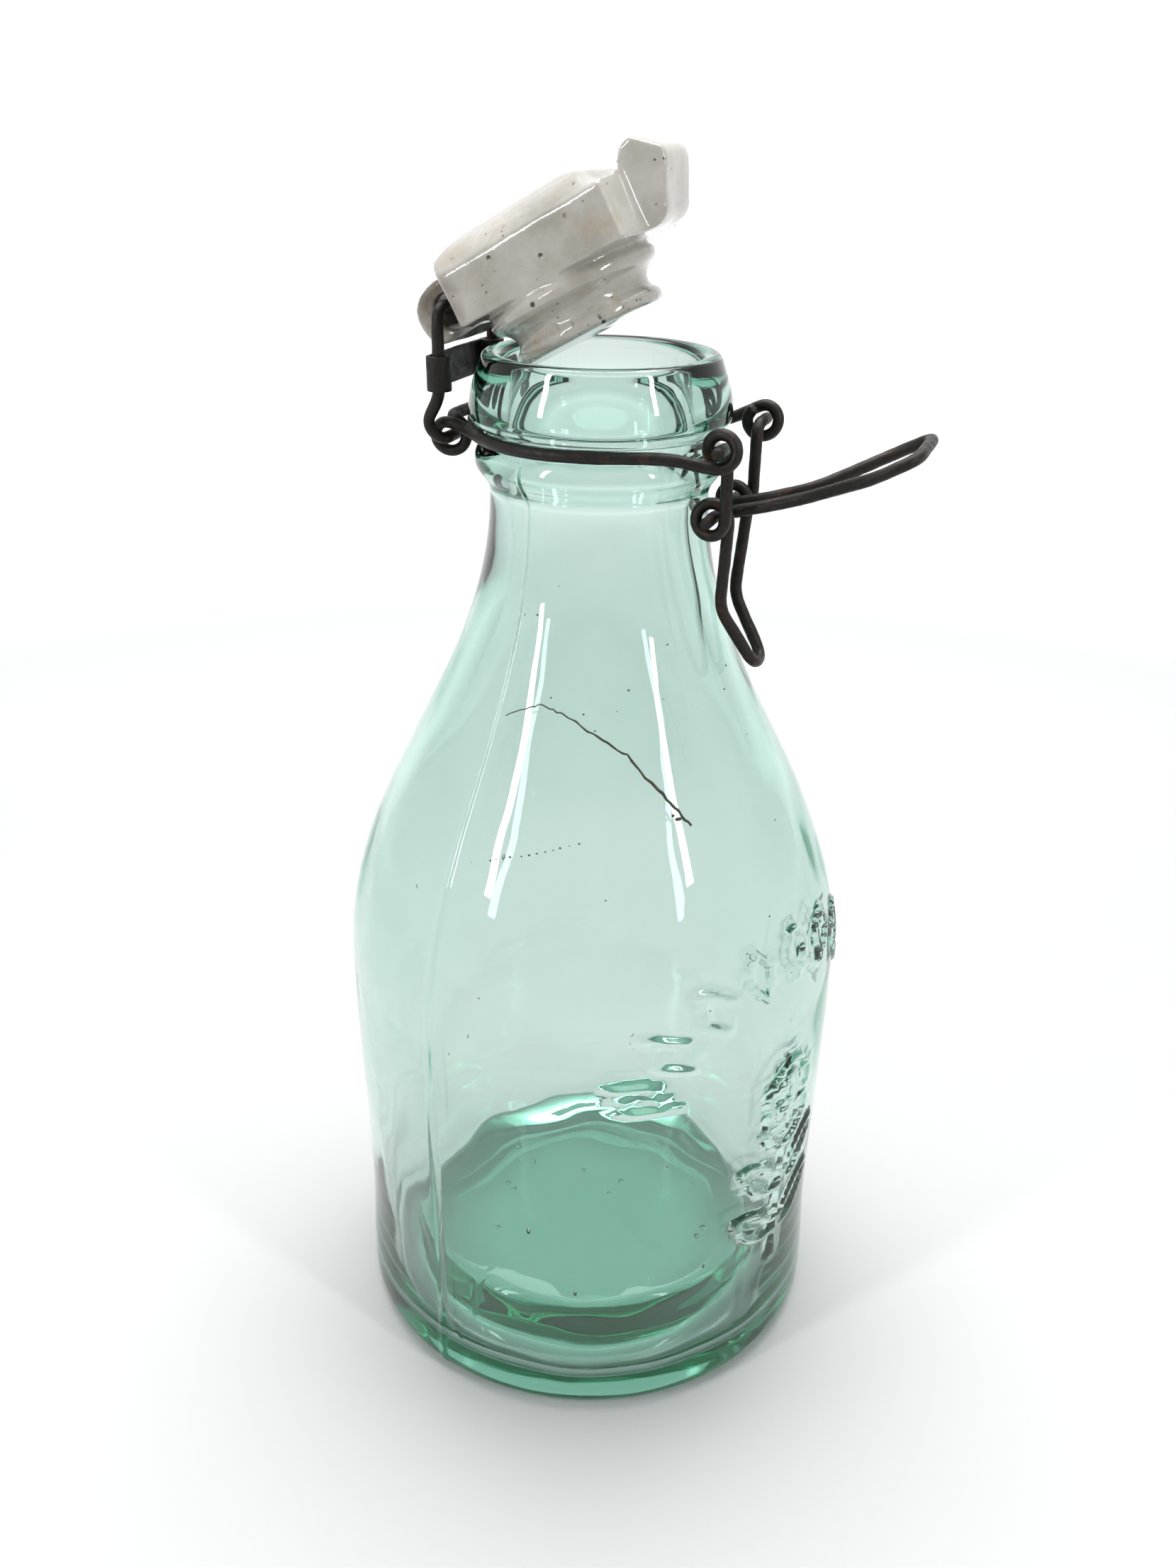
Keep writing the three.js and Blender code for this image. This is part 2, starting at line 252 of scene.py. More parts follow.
def aqua_glass():
    """Bottle glass: faintly uneven, and greener the further light travels in it."""
    n = Nodes("aqua_glass")
    n.shader.inputs["Base Color"].default_value = (0.92, 0.93, 0.925, 1)
    n.shader.inputs["IOR"].default_value = 1.5
    n.shader.inputs["Transmission Weight"].default_value = 1.0
    haze = n.noise(38, detail=5)
    n.roughness(n.ramp(haze, [(0.45, 0.0), (0.8, 0.03)]))
    n.bump(n.noise(60, detail=2, stretch=(1, 1, 0.45)), 0.12, 0.0006)
    absorb = n.add("ShaderNodeVolumeAbsorption")
    absorb.inputs["Color"].default_value = (0.12, 0.64, 0.48, 1)
    absorb.inputs["Density"].default_value = 47.0
    n.link(absorb.outputs["Volume"], n.output.inputs["Volume"])
    return n.material


def porcelain():
    """Old white glaze: cloudy, stained, pitted, and dirty round the hinge hole and the plug's rim."""
    n = Nodes("porcelain")
    cloud = n.noise(70, detail=6, roughness=0.62)
    tone = n.ramp(cloud, [(0.32, (0.33, 0.31, 0.265)), (0.5, (0.435, 0.415, 0.37)),
                          (0.68, (0.54, 0.525, 0.48))])
    stain = n.ramp(n.noise(95, detail=7, roughness=0.7, place=(0.3, 0, 0)), [(0.53, 0.0), (0.70, 0.7)])
    tone = n.mix(stain, tone, (0.40, 0.31, 0.21))
    fine = n.ramp(n.cells(480), [(0.07, 1.0), (0.14, 0.0)])
    sparse = n.ramp(n.noise(190, detail=1, place=(0, 0.7, 0)), [(0.50, 0.0), (0.58, 1.0)])
    tone = n.mix(n.math("MULTIPLY", fine, sparse), tone, (0.10, 0.08, 0.065))
    pit = n.ramp(n.cells(170, place=(0.02, 0.01, 0.03)), [(0.06, 1.0), (0.10, 0.0)])
    few = n.ramp(n.noise(120, detail=1, place=(0.5, 0, 0.4)), [(0.45, 0.0), (0.52, 1.0)])
    pits = n.math("MULTIPLY", pit, few)
    tone = n.mix(pits, tone, (0.05, 0.04, 0.035))
    split = n.add("ShaderNodeSeparateXYZ")
    n.link(n.place, split.inputs["Vector"])
    hole_x = n.math("ADD", split.outputs["X"], -HINGE.x)
    hole_z = n.math("ADD", split.outputs["Z"], -HINGE.z)
    above_hole = n.math("ADD", n.math("MULTIPLY", hole_x, -math.sin(TILT)),
                        n.math("MULTIPLY", hole_z, math.cos(TILT)))
    from_hole = n.math("SQRT", n.math("ADD", n.math("MULTIPLY", hole_x, hole_x),
                                      n.math("MULTIPLY", hole_z, hole_z)))
    at_hole = n.ramp(from_hole, [(3.4 * MM, 0.95), (6.2 * MM, 0.0)])
    soot = n.math("MULTIPLY", at_hole, n.ramp(n.noise(260, detail=5), [(0.3, 0.3), (0.6, 1.0)]))
    tone = n.mix(soot, tone, (0.10, 0.07, 0.045))
    at_rim = n.ramp(n.math("MULTIPLY", above_hole, -1.0), [(11.8 * MM, 0.0), (13.2 * MM, 1.0)])
    grime = n.ramp(n.noise(420, detail=4, roughness=0.7), [(0.58, 0.0), (0.64, 0.9)])
    tone = n.mix(n.math("MULTIPLY", at_rim, grime), tone, (0.045, 0.038, 0.03))
    n.color(tone)
    n.roughness(n.ramp(n.noise(160, detail=4), [(0.35, 0.09), (0.75, 0.22)]))
    relief = n.mix(0.75, n.noise(850, detail=2), n.noise(150, detail=3))
    relief = n.mix(pits, relief, (0, 0, 0))
    n.bump(relief, 0.35, 0.0004)
    n.shader.inputs["Coat Weight"].default_value = 0.6
    n.shader.inputs["Coat Roughness"].default_value = 0.04
    return n.material


def iron(name, rust=0.55, dark=(0.007, 0.0058, 0.005)):
    """Blackened iron with rust in patches; a higher value of rust leaves fewer of them."""
    n = Nodes(name)
    patch = n.ramp(n.noise(240, detail=7, roughness=0.68), [(rust, 0.0), (rust + 0.16, 1.0)])
    bare = n.ramp(n.noise(900, detail=3), [(0.3, dark), (0.75, tuple(2.0 * c for c in dark))])
    red = n.ramp(n.noise(1500, detail=4), [(0.3, (0.025, 0.009, 0.005)), (0.7, (0.10, 0.034, 0.012))])
    n.color(n.mix(patch, bare, red))
    n.roughness(n.ramp(n.noise(700, detail=5), [(0.3, 0.32), (0.75, 0.68)]))
    n.shader.inputs["Metallic"].default_value = 0.35
    n.bump(n.mix(0.5, n.noise(1300, detail=6, roughness=0.7), n.noise(420, detail=4)), 0.6, 0.00025)
    return n.material


def old_dirt():
    n = Nodes("old_dirt")
    n.color(n.ramp(n.noise(900, detail=4), [(0.35, (0.022, 0.028, 0.02)), (0.7, (0.075, 0.06, 0.03))]))
    n.roughness(n.ramp(n.noise(600), [(0.3, 0.5), (0.8, 0.8)]))
    return n.material


# ---- bottle ----

def bottle_outline():
    """The wall's section (radius, height), from the middle of the foot round to the middle of the floor."""
    heel = BODY_R - 0.8
    foot = HEEL_R - 3.4
    inside = BODY_R - WALL
    bore = NECK_R - WALL
    outline = [Vector((0, PUSH_UP))]
    outline += bezier([(0, PUSH_UP), (HEEL_R - 9, PUSH_UP), (HEEL_R - 7, 0.1), (foot, 0)], even(14))
    outline += bezier([(foot, 0), (heel - 0.4, 0), (heel, 5)], even(12))
    outline += bezier([(heel, 5), (heel, 18), (WAIST_R, 18), (WAIST_R, 30)], even(20))
    outline += bezier([(WAIST_R, 30), (WAIST_R, 50), (BODY_R, 60), (BODY_R, SHOULDER_Z)], even(78))
    shoulder = [(BODY_R, SHOULDER_Z), (BODY_R, SHOULDER_Z + 38), (NECK_R, NECK_Z - 42), (NECK_R, NECK_Z - 4)]
    split = 0.22               # the ornament reaches up to here, and needs closer rows
    outline += bezier(shoulder, [split * t for t in even(26)])
    outline += bezier(shoulder, [split + (1 - split) * t for t in even(40)])
    outline += bezier([(NECK_R, NECK_Z - 4), (NECK_R + 0.1, NECK_Z - 1.2), (BEAD_R, NECK_Z),
                       (BEAD_R, NECK_Z + 2.2)], even(9))
    outline += bezier([(BEAD_R, NECK_Z + 2.2), (BEAD_R, GROOVE_Z - 2.6), (GROOVE_R, GROOVE_Z - 1.4)], even(6))
    outline += bezier([(GROOVE_R, GROOVE_Z - 1.4), (GROOVE_R - 0.2, GROOVE_Z),
                       (GROOVE_R, GROOVE_Z + 1.2)], even(4))
    outline += bezier([(GROOVE_R, GROOVE_Z + 1.2), (LIP_R, GROOVE_Z + 1.6), (LIP_R, GROOVE_Z + 4.2)], even(7))
    outline += bezier([(LIP_R, GROOVE_Z + 4.2), (LIP_R, GROOVE_Z + 8), (CREST_R + 0.9, HEIGHT - 4),
                       (CREST_R, HEIGHT - 1.2)], even(10))
    outline += bezier([(CREST_R, HEIGHT - 1.2), (CREST_R - 0.4, HEIGHT), (CREST_R - 1.6, HEIGHT)], even(5))
    outline += bezier([(CREST_R - 1.6, HEIGHT), (BORE_R, HEIGHT + 0.1), (BORE_R, HEIGHT - 2.4)], even(7))
    outline += bezier([(BORE_R, HEIGHT - 2.4), (BORE_R, 200), (bore, 198), (bore, NECK_Z - 8)], even(10))
    outline += bezier([(bore, NECK_Z - 8), (bore, NECK_Z - 45), (inside, SHOULDER_Z + 35),
                       (inside, SHOULDER_Z - 2)], even(28))
    outline += bezier([(inside, SHOULDER_Z - 2), (inside - 0.4, 55), (inside - 1, 14)], even(26))
    outline += bezier([(inside - 1, 14), (inside - 1, TROUGH_Z), (RISE_R + 3.8, TROUGH_Z)], even(9))
    outline += bezier([(RISE_R + 3.8, TROUGH_Z), (RISE_R + 0.8, TROUGH_Z), (RISE_R, TROUGH_Z + 5)], even(7))
    outline += bezier([(RISE_R, TROUGH_Z + 5), (RISE_R - 1, RISE_Z - 0.4), (RISE_R - 4.2, RISE_Z)], even(9))
    outline += bezier([(RISE_R - 4.2, RISE_Z), (15, RISE_Z + 0.2), (0, RISE_Z + 0.6)], even(8))
    return outline


def ridge(distance, half_width, flat=0.4):
    """1 on a line, flat for a share of half_width, then falling smoothly to 0 at half_width."""
    k = min(1.0, max(0.0, abs(distance) / half_width - flat) / (1 - flat))
    return 0.5 + 0.5 * math.cos(math.pi * k)


LOZENGES = 9
ARCH_R = 45.6                  # arch of lozenges, round a centre at ARCH_Z
ARCH_Z = 60.0
ARCH_SPAN = 118.0              # degrees
LOZENGE = (3.6, 5.6)           # half width, half length
STROKE = 0.95
ROSETTE_Z = 69.0
ROSETTE = (7.5, 11.0)
PETALS = 8
LEAVES = [(46.0, 40.0), (34.0, 34.0)]   # height on the stem, degrees up from level
LEAF = (2.6, 7.6)


def lozenge_line(x, y, half):
    q = abs(x) / half[0] + abs(y) / half[1]
    return (q - 1) * half[0] * half[1] / math.hypot(*half)


def oval_line(x, y, half):
    q = math.hypot(x / half[0], y / half[1])
    return (q - 1) * min(half) * (1 if q < 1e-6 else math.hypot(x, y) / (q * math.hypot(*half) / 1.414))


def ornament(s, z):
    """Height of the raised ornament, 0 to 1, at s along the wall from its middle and at height z."""
    height = 0.0
    for i in range(LOZENGES):
        turn = math.radians(ARCH_SPAN * (i / (LOZENGES - 1) - 0.5))
        dx, dz = s - ARCH_R * math.sin(turn), z - (ARCH_Z + ARCH_R * math.cos(turn))
        if dx * dx + dz * dz < 60:
            x = dx * math.cos(turn) - dz * math.sin(turn)
            y = dx * math.sin(turn) + dz * math.cos(turn)
            height = max(height, ridge(lozenge_line(x, y, LOZENGE), STROKE))
    dz = z - ROSETTE_Z
    if abs(s) < 10 and abs(dz) < 14:
        height = max(height, ridge(oval_line(s, dz, ROSETTE), 0.9))
        for i in range(PETALS):
            turn = math.tau * i / PETALS
            x = s * math.cos(turn) + dz * math.sin(turn) / 1.4
            y = -s * math.sin(turn) + dz * math.cos(turn) / 1.4
            height = max(height, 0.8 * ridge(oval_line(x - 3.3, y, (2.1, 1.1)), 0.7))
    if abs(s) < 1.2 and 26 < z < 58:
        height = max(height, 0.8 * ridge(s, 0.8) * ridge(max(0.0, abs(z - 42) - 14), 3))
    for side in (-1, 1):
        for at, up in LEAVES:
            turn = math.radians(up)
            dx, dz = side * s - 9.2 * math.cos(turn), z - at - 9.2 * math.sin(turn)
            if dx * dx + dz * dz < 90:
                x = dx * math.cos(turn) + dz * math.sin(turn)
                y = -dx * math.sin(turn) + dz * math.cos(turn)
                height = max(height, 0.85 * ridge(oval_line(x, y, (LEAF[1], LEAF[0])), 0.85))
    return height


def near_ornament(s, z, reach=0.6):
    """True where the ornament rises at a place or close by it."""
    return any(ornament(s + ds, z + dz) > 0.02
               for ds, dz in ((0, 0), (reach, 0), (-reach, 0), (0, reach), (0, -reach)))


def around_from_ornament(place):
    """Degrees round the bottle from the ornament's middle, -180 to 180."""
    return (math.degrees(math.atan2(place.y, place.x)) - ORNAMENT_AT + 180) % 360 - 180


def on_outside(place, normal):
    """True on the outer side of the wall, which faces away from the axis."""
    outward = Vector((place.x, place.y, 0))
    return outward.length > 20 * MM and place.z > MM and outward.normalized().dot(normal) > 0.2


def make_bottle():
    """The outline spun round, with closer steps where the ornament and the seams rise."""
    outline = bottle_outline()
    start = math.radians(ORNAMENT_AT - ORNAMENT_HALF)
    around = Vector((math.cos(start), math.sin(start), 0))
    points = [(around * p.x + Vector((0, 0, p.y))) * MM for p in outline]
    bpy.ops.mesh.primitive_plane_add(size=MM, location=points[0])
    bottle = bpy.context.object
    bottle.name = bottle.data.name = "glass_bottle"
    at_origin(bottle)
    edit_only(bottle)
    bpy.ops.mesh.merge(type="CENTER")
    for a, b in zip(points, points[1:]):
        bpy.ops.mesh.extrude_region_move(TRANSFORM_OT_translate={"value": b - a})
    bpy.ops.mesh.select_all(action="SELECT")
    seam = 2 * SEAM_HALF
    plain = 90 - ORNAMENT_HALF - SEAM_HALF
    back = 180 - seam
    turns = ((2 * ORNAMENT_HALF, 162), (plain, 13), (seam, 4), (back, 58), (seam, 4), (plain, 13))
    for degrees, steps in turns:
        bpy.ops.mesh.spin(steps=steps, angle=math.radians(degrees), center=(0, 0, 0), axis=(0, 0, 1))
    bpy.ops.mesh.select_all(action="SELECT")
    bpy.ops.mesh.remove_doubles(threshold=0.01 * MM)
    bpy.ops.mesh.normals_make_consistent(inside=False)
    bpy.ops.mesh.select_all(action="DESELECT")
    close_edit()
    for face in bottle.data.polygons:
        place, turn = face.center, around_from_ornament(face.center)
        if place.z < ORNAMENT_TOP * MM and abs(turn) < ORNAMENT_HALF and on_outside(place, face.normal):
            face.select = near_ornament(math.radians(turn) * BODY_R, place.z / MM)
    edit_only(bottle)
    bpy.ops.mesh.subdivide(number_cuts=1)
    close_edit()

    relief = bottle.vertex_groups.new(name="relief")
    seams = bottle.vertex_groups.new(name="seams")
    inner = bottle.vertex_groups.new(name="inner")
    outer = bottle.vertex_groups.new(name="outer")
    uneven = bottle.vertex_groups.new(name="uneven")
    for v in bottle.data.vertices:
        r, z = math.hypot(v.co.x, v.co.y) / MM, v.co.z / MM
        turn = around_from_ornament(v.co)
        outside = on_outside(v.co, v.normal)
        wall = outside and r > 1.02 * (NECK_R - 1)
        if wall and z < ORNAMENT_TOP and abs(turn) < ORNAMENT_HALF:
            height = ornament(math.radians(turn) * BODY_R, z)
            if height > 0.001:
                relief.add([v.index], height, "REPLACE")
        if wall and z < GROOVE_Z - 2:
            off = abs(abs(turn) - 90)
            if off < SEAM_HALF:
                seams.add([v.index], ridge(off, SEAM_HALF), "REPLACE")
        if not outside and z > 3 and z < HEIGHT - 12:
            inner.add([v.index], min(1.0, (HEIGHT - 12 - z) / 20), "REPLACE")
        if not outside and TROUGH_Z + 1 < z < RISE_Z + 0.5 and RISE_R - 4.4 < r < RISE_R + 2:
            at = Vector((v.co.x, v.co.y, 0)).normalized() * 2.2
            share = 0.5 + 0.9 * noise.noise(at) + 0.35 * noise.noise(3.7 * at)
            share *= min(1.0, (r - RISE_R + 4.4) / 2, (z - TROUGH_Z - 1) / 3)
            uneven.add([v.index], min(1.0, max(0.0, share)), "REPLACE")
        if outside and 4 < z < NECK_Z:
            outer.add([v.index], min(1.0, (z - 4) / 10, (NECK_Z - z) / 10), "REPLACE")
    displace(bottle, "ornament", RELIEF * MM, group="relief", middle=0)
    displace(bottle, "seam", SEAM_HEIGHT * MM, group="seams", middle=0)
    displace(bottle, "uneven rise", RISE_UNEVEN * MM, group="uneven", middle=0.5)
    displace(bottle, "inside waves", 1.1 * MM, clouds("inside waves", 0.028), "inner")
    displace(bottle, "inside ripple", 0.12 * MM, clouds("inside ripple", 0.012), "inner")
    displace(bottle, "outside waves", 0.3 * MM, clouds("outside waves", 0.022), "outer")
    apply_all(bottle)
    return bottle


BUBBLES = 26
FLOOR_BUBBLES = 11


def add_bubbles(bottle):
    """Small bubbles in the wall: closed hollows, with their faces turned into the bubble."""
    chance = Random(11)
    made = []
    for i in range(BUBBLES):
        in_floor = i < FLOOR_BUBBLES
        around = math.radians(chance.uniform(0, 360))
        if in_floor:
            r, z, size = chance.uniform(6, 30), chance.uniform(12.6, 15.6), chance.uniform(0.45, 0.95)
        else:
            z = chance.uniform(20, SHOULDER_Z)
            r, size = BODY_R - 0.5 * WALL - 0.8, chance.uniform(0.25, 0.55)
        where = Vector((r * math.cos(around), r * math.sin(around), z)) * MM
        bpy.ops.mesh.primitive_ico_sphere_add(subdivisions=3, radius=size * MM, location=where)
        bubble = bpy.context.object
        edit_only(bubble)
        bpy.ops.transform.resize(value=(1, 1, 1) if in_floor else (0.8, 0.8, 1.7), center_override=where)
        bpy.ops.mesh.flip_normals()
        close_edit()
        made.append(bubble)
    bpy.ops.object.select_all(action="DESELECT")
    for obj in (*made, bottle):
        obj.select_set(True)
    bpy.context.view_layer.objects.active = bottle
    bpy.ops.object.join()


def wall_radius(bottle, around, z):
    """Radius of the glass at an angle and height, found by looking in from outside."""
    direction = Vector((math.cos(around), math.sin(around), 0))
    hit, where, _, _ = bottle.ray_cast(direction * 0.2 + Vector((0, 0, z * MM)), -direction)
    return math.hypot(where.x, where.y) / MM if hit else BODY_R


CRACK = [(-104, 152.5), (-97, 154.6), (-90, 155.8), (-83, 154.6), (-76, 153), (-68, 150.6), (-60, 147.8),
         (-51, 141.4), (-46, 137.4), (-42, 133.8)]      # degrees round, height


def make_flaws(bottle):
    """A hairline crack with old dirt in it, and specks of dirt, each set into the glass's surface."""
    chance = Random(5)
    bpy.ops.mesh.primitive_plane_add(size=MM, location=(0, 0, 0))
    flaws = bpy.context.object
    flaws.name = flaws.data.name = "crack_and_specks"
    edit_only(flaws)
    bpy.ops.mesh.merge(type="CENTER")
    path = []
    for (a0, z0), (a1, z1) in zip(CRACK, CRACK[1:]):
        for k in range(5):
            t = k / 5
            around = math.radians(a0 + (a1 - a0) * t + chance.uniform(-0.25, 0.25))
            z = z0 + (z1 - z0) * t + chance.uniform(-0.22, 0.22)
            r = wall_radius(bottle, around, z) - 0.02
            path.append(Vector((r * math.cos(around), r * math.sin(around), z)) * MM)
    bpy.ops.transform.translate(value=path[0])
    for a, b in zip(path, path[1:]):
        bpy.ops.mesh.extrude_region_move(TRANSFORM_OT_translate={"value": b - a})
    close_edit()
    flaws.modifiers.new("thickness", "SKIN")
    for i, v in enumerate(flaws.data.skin_vertices[0].data):
        k = 0.08 + 0.16 * (i / len(path)) ** 1.5 * chance.uniform(0.4, 1.3)
        v.radius = (k * MM, k * MM)
    apply_all(flaws)
    specks = [(-46.4, 136.2, 0.75), (-47.8, 136.9, 0.4)]
    specks += [(-98 + 2.1 * i + chance.uniform(-0.8, 0.8), 128.2 + 0.45 * i, chance.uniform(0.12, 0.3))
               for i in range(12)]
    specks += [(chance.uniform(-120, 10), chance.uniform(100, 185), chance.uniform(0.1, 0.3))
               for _ in range(22)]
    made = []
    for around, z, size in specks:
        around = math.radians(around)
        r = wall_radius(bottle, around, z) - 0.05
        where = Vector((r * math.cos(around), r * math.sin(around), z)) * MM
        bpy.ops.mesh.primitive_ico_sphere_add(subdivisions=2, radius=size * MM, location=where)
        made.append(bpy.context.object)
        edit_only(made[-1])
        bpy.ops.transform.resize(value=(0.5, 1, chance.uniform(0.5, 0.9)), center_override=where)
        bpy.ops.transform.rotate(value=-around, orient_axis="Z", center_override=where)
        close_edit()
    bpy.ops.object.select_all(action="DESELECT")
    for obj in (*made, flaws):
        obj.select_set(True)
    bpy.context.view_layer.objects.active = flaws
    bpy.ops.object.join()
    flaws.location = (0, 0, 0)
    at_origin(flaws)
    smooth(flaws)
    return flaws


# ---- closure ----

def copy_of(node, name):
    """A merged copy of a CAD node's mesh, with its flat faces made whole."""
    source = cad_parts[node]
    obj = bpy.data.objects.new(name, source.data.copy())
    obj.data.name = name
    bpy.context.scene.collection.objects.link(obj)
    obj.data.materials.clear()
    edit_only(obj)
    bpy.ops.mesh.select_all(action="SELECT")
    bpy.ops.mesh.remove_doubles(threshold=0.002 * MM)
    bpy.ops.mesh.customdata_custom_splitnormals_clear()
    close_edit()
    return obj


def make_wire(node, name):
    """Round drawn wire with worn, pitted skin, from the CAD's faceted one."""
    obj = copy_of(node, name)
    edit_only(obj)
    bpy.ops.mesh.select_all(action="SELECT")
    bpy.ops.mesh.tris_convert_to_quads(face_threshold=math.radians(60), shape_threshold=math.radians(60))
    close_edit()
    rounder = obj.modifiers.new("round", "SUBSURF")
    rounder.levels = rounder.render_levels = 2
    displace(obj, "swell", 0.01 * MM, middle=-1)
    displace(obj, "pits", 0.13 * MM, clouds("pits " + name, 0.0022, 2))
    displace(obj, "wear", 0.1 * MM, clouds("wear " + name, 0.009))
    apply_all(obj)
    smooth(obj)
    return obj


def make_strap():
    obj = copy_of("hinge_strap", "sheet_strap")
    edit_only(obj)
    bpy.ops.mesh.select_all(action="SELECT")
    bpy.ops.mesh.dissolve_limited(angle_limit=math.radians(2))
    close_edit()
    bevel = obj.modifiers.new("edges", "BEVEL")
    bevel.width = 0.12 * MM
    bevel.segments = 2
    bevel.limit_method = "ANGLE"
    bevel.angle_limit = math.radians(40)
    remesh = obj.modifiers.new("even", "REMESH")
    remesh.mode = "VOXEL"
    remesh.voxel_size = 0.16 * MM
    displace(obj, "dents", 0.18 * MM, clouds("strap dents", 0.004))
    apply_all(obj)
    smooth(obj, 50)
    return obj


def make_stopper():
    """Glazed porcelain: the CAD's shape with its edges run round by the glaze."""
    obj = copy_of("stopper", "porcelain_stopper")
    even_mesh = obj.modifiers.new("even", "REMESH")
    even_mesh.mode = "VOXEL"
    even_mesh.voxel_size = 0.36 * MM
    soft = obj.modifiers.new("glaze", "SMOOTH")
    soft.factor = 0.5
    soft.iterations = 22
    displace(obj, "fill", -0.03 * MM, middle=-1)
    displace(obj, "hand work", 0.42 * MM, clouds("hand work", 0.011))
    apply_all(obj)
    smooth(obj)
    return obj


def finish_piece(obj, body, node, material):
    obj.data.materials.clear()
    obj.data.materials.append(material)
    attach(obj, body)
    if node:
        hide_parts(node)


wire_iron = iron("iron_wire")
glass_bottle = make_bottle()
flaws = make_flaws(glass_bottle)
add_bubbles(glass_bottle)
smooth(glass_bottle)

finish_piece(glass_bottle, "bottle_body", "bottle", aqua_glass())
finish_piece(flaws, "bottle_body", None, old_dirt())
finish_piece(make_wire("neck_wire", "wire_ring"), "bottle_body", "neck_wire", wire_iron)
finish_piece(make_wire("hinge_wire", "wire_stirrup"), "stirrup", "hinge_wire", wire_iron)
finish_piece(make_wire("lever", "wire_lever"), "lever_body", "lever", wire_iron)
finish_piece(make_wire("bail", "wire_bail"), "bail_body", "bail", wire_iron)
finish_piece(make_strap(), "stirrup", "hinge_strap", iron("iron_strap", rust=0.66))
finish_piece(make_stopper(), "stopper_body", "stopper", porcelain())


# ---- camera, floor and light ----

TOWARD_CAMERA = (0.34, -0.94)   # level direction from the bottle to the camera
scene = bpy.context.scene
camera_data = bpy.data.cameras.new("camera")
camera = bpy.data.objects.new("camera", camera_data)
scene.collection.objects.link(camera)
scene.camera = camera
camera_data.sensor_width = 36
camera_data.lens = 32.95
camera_data.clip_start = 0.01
turn = Matrix.Rotation(math.radians(20), 4, "Z")
tip = Matrix.Rotation(math.radians(90 - 25.25), 4, "X")
roll = Matrix.Rotation(0.0135, 4, "Z")
camera.matrix_world = Matrix.Translation(Vector((93.4, -260.9, 257.1)) * MM) @ turn @ tip @ roll


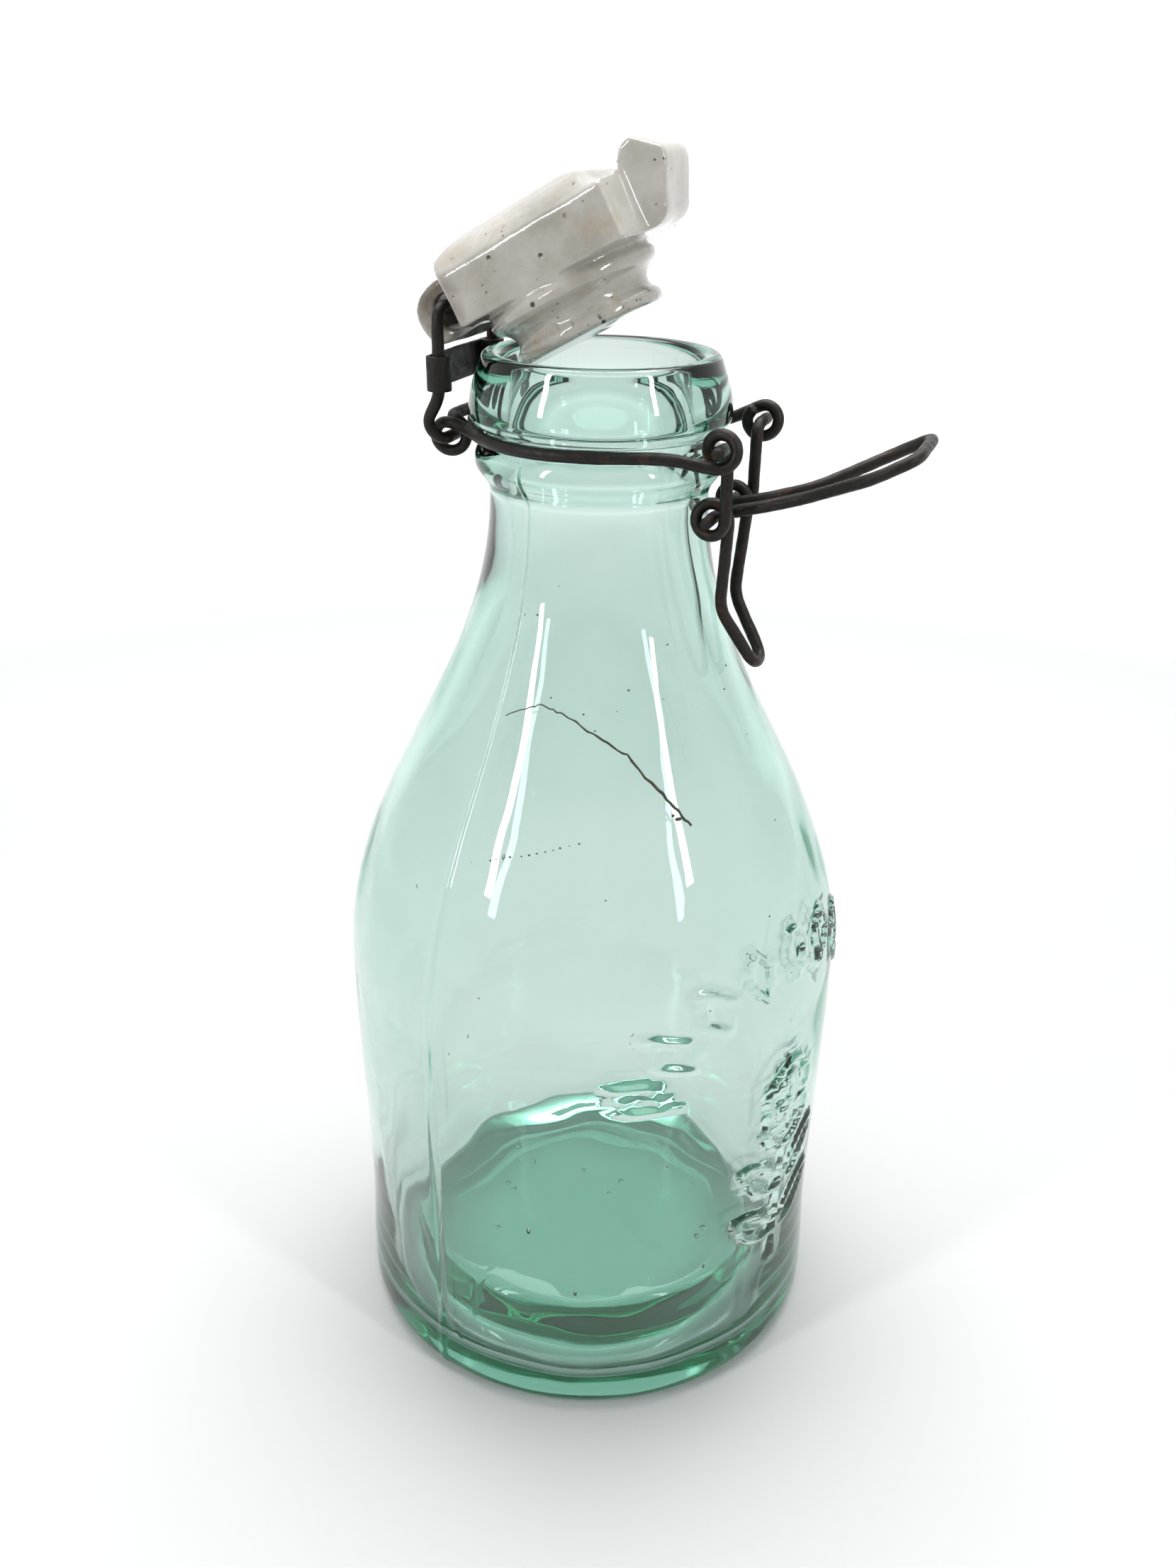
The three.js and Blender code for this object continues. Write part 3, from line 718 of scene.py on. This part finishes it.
def make_floor():
    """A plain pale table that curves up all round into a wall: white behind the bottle, dimmer facing it,
    with a painted pool of light under the foot.
    """
    steps, step = 12, 0.08
    bpy.ops.mesh.primitive_circle_add(vertices=96, radius=1.0, fill_type="NGON",
                                      location=(0, 0, -0.02 * MM))
    floor = bpy.context.object
    floor.name = "floor"
    edit_only(floor)
    bpy.ops.mesh.select_mode(type="EDGE")
    bpy.ops.mesh.select_all(action="SELECT")
    bpy.ops.mesh.region_to_loop()
    radius, height = 1.0, 0.0
    for i in range(steps):
        lift = math.radians(90 * (i + 1) / steps)
        grown, rise = radius + step * math.cos(lift), step * math.sin(lift)
        bpy.ops.mesh.extrude_region_move(TRANSFORM_OT_translate={"value": (0, 0, rise)})
        bpy.ops.transform.resize(value=(grown / radius, grown / radius, 1),
                                 center_override=(0, 0, height))
        radius, height = grown, height + rise
    bpy.ops.mesh.extrude_region_move(TRANSFORM_OT_translate={"value": (0, 0, 0.9)})
    bpy.ops.mesh.select_all(action="SELECT")
    bpy.ops.mesh.normals_make_consistent(inside=True)
    close_edit()
    smooth(floor, 30)
    n = Nodes("pale_floor")
    split = n.add("ShaderNodeSeparateXYZ")
    n.link(n.place, split.inputs["Vector"])
    x, y = split.outputs["X"], split.outputs["Y"]
    ahead_x, ahead_y = TOWARD_CAMERA
    toward = n.math("ADD", n.math("MULTIPLY", x, ahead_x), n.math("MULTIPLY", y, ahead_y))
    across = n.math("ADD", n.math("MULTIPLY", x, -ahead_y), n.math("MULTIPLY", y, ahead_x))
    spread = 0.37              # how fast the camera's view widens behind the bottle
    beside = n.math("ADD", n.math("ABSOLUTE", across), n.math("MULTIPLY", toward, spread))
    near = n.ramp(toward, [(0.12, 1.0), (0.75, 0.5)])
    wide = n.ramp(beside, [(0.2, 0.56), (1.0, 0.36)])
    shade = n.mix(1.0, near, wide, blend="MULTIPLY")
    n.color(shade)
    length = n.add("ShaderNodeVectorMath", operation="LENGTH")
    n.link(n.place, length.inputs[0])
    painted_light_under_foot, on_wall = (0.56, 0.88, 0.76), 0.8      # painted pool of light under the foot, in place of light the glass gathers, and the lit wall
    # Emission: a painted pool of light on the table under the foot, and the lit wall beyond 0.9 m.
    painted_pool_and_wall_glow = n.ramp(length.outputs["Value"], [(0.025, painted_light_under_foot), (0.044, 0.0), (0.5, 0.0), (0.9, on_wall)])
    n.link(n.mix(1.0, painted_pool_and_wall_glow, shade, blend="MULTIPLY"), n.shader.inputs["Emission Color"])
    n.shader.inputs["Emission Strength"].default_value = 1.0
    n.shader.inputs["Roughness"].default_value = 0.7
    floor.data.materials.append(n.material)


def softbox(name, place, towards, size, power):
    light = bpy.data.lights.new(name, "AREA")
    light.shape = "RECTANGLE"
    light.size, light.size_y = size
    light.energy = power
    obj = bpy.data.objects.new(name, light)
    scene.collection.objects.link(obj)
    aim = (Vector(towards) - Vector(place)).to_track_quat("-Z", "Y")
    obj.matrix_world = Matrix.Translation(place) @ aim.to_matrix().to_4x4()


def by_camera(degrees, distance, height):
    """A place at an angle round from the camera's side, positive towards the right of the picture."""
    angle = math.radians(-70 + degrees)
    return Vector((distance * math.cos(angle), distance * math.sin(angle), height))


def make_sky():
    """White light from above and behind, fading to grey on the camera's side."""
    world = bpy.data.worlds.new("studio")
    scene.world = world
    world.use_nodes = True
    sky = world.node_tree
    background = sky.nodes["Background"]
    direction = sky.nodes.new("ShaderNodeTexCoord")
    lean = sky.nodes.new("ShaderNodeVectorMath")
    lean.operation = "DOT_PRODUCT"
    lean.inputs[1].default_value = (*TOWARD_CAMERA, 0)
    fade = sky.nodes.new("ShaderNodeValToRGB")
    white, grey = fade.color_ramp.elements
    white.color = (0.96, 0.98, 1.0, 1)
    grey.position = 0.45
    grey.color = (0.36, 0.37, 0.38, 1)
    sky.links.new(direction.outputs["Generated"], lean.inputs[0])
    sky.links.new(lean.outputs["Value"], fade.inputs["Fac"])
    sky.links.new(fade.outputs["Color"], background.inputs["Color"])
    background.inputs["Strength"].default_value = 1.0


make_floor()
softbox("window left", by_camera(-52, 0.8, 0.5), (0, 0, 0.12), (0.07, 0.5), 2.6)
softbox("window right", by_camera(48, 0.8, 0.55), (0, 0, 0.12), (0.06, 0.45), 2.2)
softbox("ceiling", (-0.1, 0.3, 1.3), (0, 0, 0.1), (1.2, 0.9), 20)

make_sky()

scene.view_settings.view_transform = "Standard"
scene.cycles.transmission_bounces = 20
scene.cycles.glossy_bounces = 16
scene.cycles.max_bounces = 24
